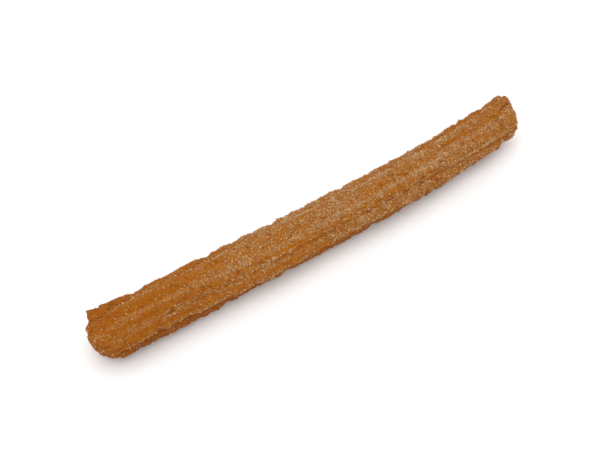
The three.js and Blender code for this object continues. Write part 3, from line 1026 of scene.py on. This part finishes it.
def sugar_dust_group():
    """Grains of sugar pressed into a surface: where they are, how high they stand, and their tint."""
    group, given, out = new_group(
        "sugar dust",
        [
            ("Vector", "NodeSocketVector", None),
            ("Amount", "NodeSocketFloat", 0.5),
            ("Grain", "NodeSocketFloat", 0.8),
        ],
        [("Mask", "NodeSocketFloat"), ("Height", "NodeSocketFloat"), ("Tint", "NodeSocketFloat")],
    )
    vector = given.outputs["Vector"]
    scale = math(group, "DIVIDE", 1 / MM, given.outputs["Grain"])
    shake = add(group, "TexNoise", Vector=vector, Scale=SHAKES_PER_MM / MM, Detail=1.0).outputs["Color"]
    shaken = add(group, "VectorMath", {"operation": "MULTIPLY_ADD"}, i0=shake, i1=(SHAKE,) * 3, i2=vector)
    cells = add(group, "TexVoronoi", Vector=shaken.outputs[0], Scale=scale)
    draw = add(group, "SeparateColor", Color=cells.outputs["Color"])
    spare = math(group, "SUBTRACT", given.outputs["Amount"], draw.outputs[0])
    here = rise(group, spare, -GRAIN_DOUBT, GRAIN_DOUBT)
    body = rise(group, cells.outputs["Distance"], GRAIN_RIM, GRAIN_TOP)
    mask = math(group, "MULTIPLY", here, body)
    group.links.new(mask, out.inputs["Mask"])
    group.links.new(mask, out.inputs["Height"])
    group.links.new(draw.outputs[1], out.inputs["Tint"])
    return group


sugar_dust = sugar_dust_group()
print("groups:", [g.name for g in bpy.data.node_groups])


# %% [markdown]
# ## The crust's material
# The crust is matt fried dough. Powdered sugar makes its streaks paler, fine grains tan it and coarse
# grains stand out on top. Pits, seams and groove beds are red-brown, partly because little sugar hides the
# dough there and partly as painted shade, and the band under the lip is a painted shadow in the same
# red-brown. A single painted colour could not do this at grain size. So the layers are laid one over the
# other in the order in which they lie on the real thing, each through its own mask, and the same masks
# raise the surface.

# %% Helpers for materials
def place_group(tree, group, **sockets):
    """A node group placed in a material with its own values."""
    return add(tree, "Group", {"node_tree": group}, **sockets)


def new_material(name, roughness, specular):
    """A material with one Principled shader, its tree and its shader."""
    material = bpy.data.materials.new(name)
    material.use_nodes = True
    shader = material.node_tree.nodes["Principled BSDF"]
    shader.inputs["Roughness"].default_value = roughness
    shader.inputs["Specular IOR Level"].default_value = specular
    return material, material.node_tree, shader


def attribute(tree, name, output="Fac"):
    """A value that the mesh keeps on its points."""
    return add(tree, "Attribute", {"attribute_name": name}).outputs[output]


print("kept on the skin's points:", [a.name for a in crust_mesh.attributes if a.data_type == "FLOAT"])


# %% Material: crust
COARSE = {
    "amount": 0.5,
    "grain": 0.8,
    "cover": 0.7,
    "height": 0.25,
    "tints": (srgb(166, 118, 68), srgb(184, 146, 102)),
}
FINE = {
    "amount": 0.9,
    "grain": 0.45,
    "cover": 0.6,
    "height": 0.12,
    "tints": (srgb(156, 104, 48), srgb(170, 126, 76)),
}
POWDER_COLOUR, POWDER_COVER = srgb(168, 118, 60), 0.7
# The dark red-brown of pits and seams, used also as painted shade in groove beds and under the lip.
HOLLOW_AND_SHADE_COLOUR, HOLLOW_AND_SHADE_COVER = srgb(127, 68, 37), 0.6
CRUMB_SIZE, CRUMB_DETAIL, CRUMB_ROUGHNESS, CRUMB_HEIGHT = 0.6, 5.0, 0.7, 0.45
CRUST_ROUGHNESS, DUSTED_ROUGHNESS, CRUST_SHINE = 0.8, 0.5, 0.06
RELIEF_STRENGTH = 0.6


def crust_material():
    """Browned dough with powder, fine and coarse grains on it, red-brown in hollows and painted shade."""
    material, tree, shader = new_material("sugared_crust", CRUST_ROUGHNESS, CRUST_SHINE)
    vector = add(tree, "TexCoord").outputs["Object"]
    mask = {name: attribute(tree, name) for name in ("hollow", "sugar", "browning", "powder")}

    def dust(kind):
        """The sugar dust group, set for grains of one size."""
        amount = math(tree, "MULTIPLY", mask["sugar"], kind["amount"])
        return place_group(tree, sugar_dust, Vector=vector, Amount=amount, Grain=kind["grain"]).outputs

    def laid_over(under, mask_value, cover, colour):
        """A colour laid over another where a mask is high, up to its cover."""
        return blend_colours(tree, math(tree, "MULTIPLY", mask_value, cover), under, colour)

    coarse, fine = dust(COARSE), dust(FINE)
    colour = place_group(tree, fried_tone, Vector=vector, Browning=mask["browning"]).outputs["Colour"]
    colour = laid_over(colour, mask["powder"], POWDER_COVER, POWDER_COLOUR)
    for dusted, kind in ((fine, FINE), (coarse, COARSE)):
        tint = blend_colours(tree, dusted["Tint"], *kind["tints"])
        colour = laid_over(colour, dusted["Mask"], kind["cover"], tint)
    # Painted shade: hollows, groove beds and the band under the lip are darkened with this colour.
    colour = laid_over(colour, mask["hollow"], HOLLOW_AND_SHADE_COVER, HOLLOW_AND_SHADE_COLOUR)
    tree.links.new(colour, shader.inputs["Base Color"])
    crumb = noise(tree, vector, CRUMB_SIZE, CRUMB_DETAIL, CRUMB_ROUGHNESS)
    height = weighted(
        tree, (coarse["Height"], COARSE["height"]), (fine["Height"], FINE["height"]), (crumb, CRUMB_HEIGHT)
    )
    bump_node = add(tree, "Bump", Strength=RELIEF_STRENGTH, Distance=MM, Height=height)
    tree.links.new(bump_node.outputs[0], shader.inputs["Normal"])
    roughness = rise(tree, fine["Mask"], 0.0, 1.0, CRUST_ROUGHNESS, DUSTED_ROUGHNESS)
    tree.links.new(roughness, shader.inputs["Roughness"])
    return material


crust_mesh.materials.append(crust_material())
print("crust material:", crust_mesh.materials[0].name)

# %% Put the crust in the solid's place
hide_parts(NODE)
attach(crust, BODY)
print(crust.name, "stands for", NODE, "and rides on", BODY)


# %% [markdown]
# ## Sugar and cinnamon
# Sugar is a crystal: each grain is a small block with blunt, uneven corners. Ground cinnamon is bits of
# bark, flatter and darker. They could be instances on a particle system, but every grain here is real
# mesh at its true size, so that it survives export. A grain is dropped on a face picked by area and by a
# mask, turned at random, and sunk a little into the crust. Coarse sugar lies in clumps, as it does where
# the dough was moist, and cinnamon gathers in the hollows.

# %% Where grains land
TABLE_GAP = 0.25
crust_mesh.calc_loop_triangles()
triangles = np.empty(len(crust_mesh.loop_triangles) * 3, np.int32)
crust_mesh.loop_triangles.foreach_get("vertices", triangles)
triangles = triangles.reshape(-1, 3)
vertices = np.empty(len(crust_mesh.vertices) * 3, np.float32)
crust_mesh.vertices.foreach_get("co", vertices)
vertices = vertices.reshape(-1, 3).astype(float) / MM
corners = vertices[triangles]
edge_cross = np.cross(corners[:, 1] - corners[:, 0], corners[:, 2] - corners[:, 0])
areas = np.linalg.norm(edge_cross, axis=1) / 2
face_normals = edge_cross / np.maximum(areas * 2, TINY)[:, None]
print("crust area, cm2:", round(float(areas.sum() / 100), 1))


def landing_spots(count, mask, chance):
    """Random spots on the crust, more of them where the mask is high, with the normals there."""
    likely = areas * np.maximum(mask[triangles].mean(axis=1), 0)
    likely = likely * (corners[:, :, 2].mean(axis=1) > TABLE_GAP)
    faces = chance.choice(len(areas), size=count, p=likely / likely.sum())
    first, second = chance.random((2, count))
    over = first + second > 1
    first, second = np.where(over, 1 - first, first), np.where(over, 1 - second, second)
    picked = corners[faces]
    along_first = first[:, None] * (picked[:, 1] - picked[:, 0])
    along_second = second[:, None] * (picked[:, 2] - picked[:, 0])
    return picked[:, 0] + along_first + along_second, face_normals[faces]


# %% Blocks with blunt corners, turned at random
BLOCK = np.array([[x, y, z] for z in (-1, 1) for y in (-1, 1) for x in (-1, 1)], float)
BLOCK_FACES = np.array([[0, 2, 3, 1], [4, 5, 7, 6], [0, 1, 5, 4], [2, 6, 7, 3], [0, 4, 6, 2], [1, 3, 7, 5]])
BLOCK_TRIANGLES = 2 * len(BLOCK_FACES)
BLUNTING = (0.6, 1.0)
LOWEST_GRAIN = 0.02


def random_turns(count, chance):
    """Random turns, as matrices."""
    q = chance.normal(size=(count, 4))
    w, x, y, z = (q / np.linalg.norm(q, axis=1, keepdims=True)).T
    return np.array([
        [1 - 2 * (y * y + z * z), 2 * (x * y - z * w), 2 * (x * z + y * w)],
        [2 * (x * y + z * w), 1 - 2 * (x * x + z * z), 2 * (y * z - x * w)],
        [2 * (x * z - y * w), 2 * (y * z + x * w), 1 - 2 * (x * x + y * y)],
    ]).transpose(2, 0, 1)


def grain_blocks(kind, spots, up, chance):
    """The corners of one block at each spot, sunk a little along the normal there."""
    count = len(spots)
    small, large = kind["sizes"]
    size = small + (large - small) * chance.random(count) ** 2
    shape = size[:, None] * chance.uniform(kind["flatness"], 1, (count, 3)) / 2
    blocks = BLOCK * chance.uniform(*BLUNTING, (count, len(BLOCK), 3)) * shape[:, None, :]
    blocks = np.einsum("nij,nkj->nki", random_turns(count, chance), blocks)
    lift = (0.5 - kind["sink"]) * size
    blocks += (spots + up * lift[:, None])[:, None, :]
    blocks[..., 2] = np.maximum(blocks[..., 2], LOWEST_GRAIN)
    return blocks


print("one grain has", len(BLOCK), "corners and", BLOCK_TRIANGLES, "triangles")


# %% One mesh from all the blocks of a kind, mapped for baking
GRAIN_MARGIN = 0.15


def map_grains(mesh, count):
    """A map for baking that gives each grain one cell of a square grid."""
    side = int(np.ceil(np.sqrt(count)))
    cell = np.stack([np.arange(count) % side, np.arange(count) // side], axis=1)
    square = GRAIN_MARGIN + (1 - 2 * GRAIN_MARGIN) * np.array([[0, 0], [1, 0], [1, 1], [0, 1]])
    grain_map = (cell[:, None, None, :] + np.tile(square, (len(BLOCK_FACES), 1, 1))) / side
    mesh.uv_layers.new(name="OFBake").uv.foreach_set("vector", grain_map.ravel().astype(np.float32))


def scatter(name, kind, mask, material):
    """Grains of one kind as one piece. Each grain keeps a random shade and the spot that it landed on."""
    chance = np.random.default_rng(kind["seed"])
    count = kind["count"]
    spots, up = landing_spots(count, mask, chance)
    blocks = grain_blocks(kind, spots, up, chance)
    faces = (BLOCK_FACES + len(BLOCK) * np.arange(count)[:, None, None]).reshape(-1, 4)
    mesh = bpy.data.meshes.new(name)
    mesh.from_pydata((blocks.reshape(-1, 3) * MM).tolist(), [], faces.tolist())
    shade = mesh.attributes.new("grain", "FLOAT", "POINT")
    shade.data.foreach_set("value", np.repeat(chance.random(count), len(BLOCK)).astype(np.float32))
    landed = mesh.attributes.new("spot", "FLOAT_VECTOR", "POINT")
    landed.data.foreach_set("vector", np.repeat(spots * MM, len(BLOCK), axis=0).ravel().astype(np.float32))
    map_grains(mesh, count)
    mesh.materials.append(material)
    piece = bpy.data.objects.new(name, mesh)
    bpy.context.scene.collection.objects.link(piece)
    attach(piece, BODY)
    print(name, "grains:", count, " triangles:", BLOCK_TRIANGLES * count)


print("one grain fills this share of its map cell:", round((1 - 2 * GRAIN_MARGIN) ** 2, 2))

# %% [markdown]
# ## What the grains are made of
# A sugar crystal is clear, but cinnamon dust sticks to it and tans it, so from arm's length it is a pale
# tan block with a soft shine. Real glass-like sugar would need many bounces of light and would look wet.
# Cinnamon is matt and red-brown. In both, each grain has a shade of its own, and a slow noise over the
# bar shifts the shade of neighbours together, as dust does. Both materials need this, so it is a group.

# %% Group: grain shade
DUSTING_SIZE = 5.0


def grain_shade_group():
    """How pale a grain is: a share of its own, and a share from the dust where it landed."""
    group, given, out = new_group(
        "grain shade",
        [
            ("Spot", "NodeSocketVector", None),
            ("Own", "NodeSocketFloat", 0.5),
            ("Own Share", "NodeSocketFloat", 0.7),
            ("Dusting Share", "NodeSocketFloat", 0.3),
        ],
        [("Shade", "NodeSocketFloat")],
    )
    own, own_share, dusting_share = (given.outputs[name] for name in ("Own", "Own Share", "Dusting Share"))
    dusting = noise(group, given.outputs["Spot"], DUSTING_SIZE)
    group.links.new(weighted(group, (own, own_share), (dusting, dusting_share)), out.inputs["Shade"])
    return group


grain_shade = grain_shade_group()
print("groups:", [g.name for g in bpy.data.node_groups])


# %% Materials: sugar crystals and ground cinnamon
def grain_material(name, roughness, shine, own_share, dusting_share, dark, light):
    """Grains from dark to light, by a shade of their own and by the dust round them."""
    material, tree, shader = new_material(name, roughness, shine)
    landed = {"Spot": attribute(tree, "spot", "Vector"), "Own": attribute(tree, "grain")}
    shares = {"Own_Share": own_share, "Dusting_Share": dusting_share}
    shade = place_group(tree, grain_shade, **landed, **shares).outputs["Shade"]
    tree.links.new(blend_colours(tree, shade, dark, light), shader.inputs["Base Color"])
    return material


def sugar_material():
    """Clear crystals, tanned by the cinnamon dust that sticks to them."""
    return grain_material("sugar_crystals", 0.4, 0.3, 0.75, 0.35, srgb(150, 98, 40), srgb(204, 164, 116))


def cinnamon_material():
    """Ground bark, from dark to light red-brown."""
    return grain_material("ground_cinnamon", 0.9, 0.2, 0.7, 0.3, srgb(108, 48, 8), srgb(150, 78, 18))


sugar_crystals = sugar_material()
cinnamon = cinnamon_material()
print("grain materials:", sugar_crystals.name, "and", cinnamon.name)

# %% Where each kind of grain is likely to land
CLUMPS = {"size": 1.8, "seed": 236, "stretch": (0.6, 1, 1)}
CLUMP_FADE = (-0.2, 0.5)
COARSE_POWER, COARSE_SPREAD, COARSE_LEAST = 1.8, 0.35, 0.015
COARSE_LESS_LEFT, COARSE_SPREAD_LEFT = 0.65, 0.25
FINE_POWER, FINE_SPREAD, FINE_CLUMPED, FINE_LEAST = 1.2, 0.6, 0.6, 0.04
CINNAMON_LEAST = 0.25
point_sugar = on_points(sugar)
point_left = on_points(towards_left)
clumps = ramp(*CLUMP_FADE, on_points(crust_lumps(**CLUMPS)))
gathered = COARSE_SPREAD - COARSE_SPREAD_LEFT * point_left + clumps
coarse_mask = point_sugar**COARSE_POWER * (1 - COARSE_LESS_LEFT * point_left) * gathered + COARSE_LEAST
fine_mask = point_sugar**FINE_POWER * (FINE_SPREAD + FINE_CLUMPED * clumps) + FINE_LEAST
cinnamon_mask = CINNAMON_LEAST + on_points(hollow)
print("share of the crust in clumps:", round(float((clumps > 0.5).mean()), 2))

# %% Scatter the coat
COARSE_SUGAR = {"count": 12000, "sizes": (0.45, 1.0), "flatness": 0.55, "sink": 0.28, "seed": 31}
FINE_SUGAR = {"count": 16000, "sizes": (0.25, 0.45), "flatness": 0.6, "sink": 0.25, "seed": 32}
SPECKS = {"count": 12000, "sizes": (0.25, 0.55), "flatness": 0.35, "sink": 0.2, "seed": 33}
scatter("sugar_coarse", COARSE_SUGAR, coarse_mask, sugar_crystals)
scatter("sugar_fine", FINE_SUGAR, fine_mask, sugar_crystals)
scatter("cinnamon_specks", SPECKS, cinnamon_mask, cinnamon)

# %% [markdown]
# ## Table and light
# The churro lies on a plain pale table, as in a small light tent. Many lamps could light it, but a tent
# needs two things only: a sky of even white that fills the shadows, and one large soft lamp above, a
# little to the left and to the front, that gives the ridges their shape.

# %% Table
TABLE_SIZE = 8.0
TABLE_DROP = 0.05 * MM
TABLE_TONES = (0.86, 0.86, 0.86, 1), (0.9, 0.9, 0.9, 1)
TABLE_PATCH = 40.0
half = TABLE_SIZE / 2
square = [(-half, -half), (half, -half), (half, half), (-half, half)]
table_mesh = bpy.data.meshes.new("table")
table_mesh.from_pydata([(x, y, -TABLE_DROP) for x, y in square], [], [(0, 1, 2, 3)])
table_material, table_tree, table_shader = new_material("pale_table", 0.9, 0.1)
table_noise = noise(table_tree, add(table_tree, "TexCoord").outputs["Object"], TABLE_PATCH)
table_colour = blend_colours(table_tree, table_noise, *TABLE_TONES)
table_tree.links.new(table_colour, table_shader.inputs["Base Color"])
table_mesh.materials.append(table_material)
table = bpy.data.objects.new("table", table_mesh)
bpy.context.scene.collection.objects.link(table)
print("table, m:", TABLE_SIZE)

# %% Light
SKY_STRENGTH = 1.05
LAMP_POWER = 3.6
LAMP_SIZE = 0.9
LAMP_PLACE = Vector((-0.1, -0.08, 0.95))
world = bpy.data.worlds.new("tent")
world.use_nodes = True
sky = world.node_tree.nodes["Background"]
sky.inputs["Color"].default_value = (1, 1, 1, 1)
sky.inputs["Strength"].default_value = SKY_STRENGTH
bpy.context.scene.world = world
lamp_data = bpy.data.lights.new("lamp", "AREA")
lamp_data.size = LAMP_SIZE
lamp_data.energy = LAMP_POWER
lamp = bpy.data.objects.new("lamp", lamp_data)
lamp.location = LAMP_PLACE
lamp.rotation_euler = (-LAMP_PLACE).to_track_quat("-Z", "Y").to_euler()
bpy.context.scene.collection.objects.link(lamp)
bpy.context.scene.view_settings.view_transform = "Standard"
print("lamp above the table, m:", round(LAMP_PLACE.z, 2))
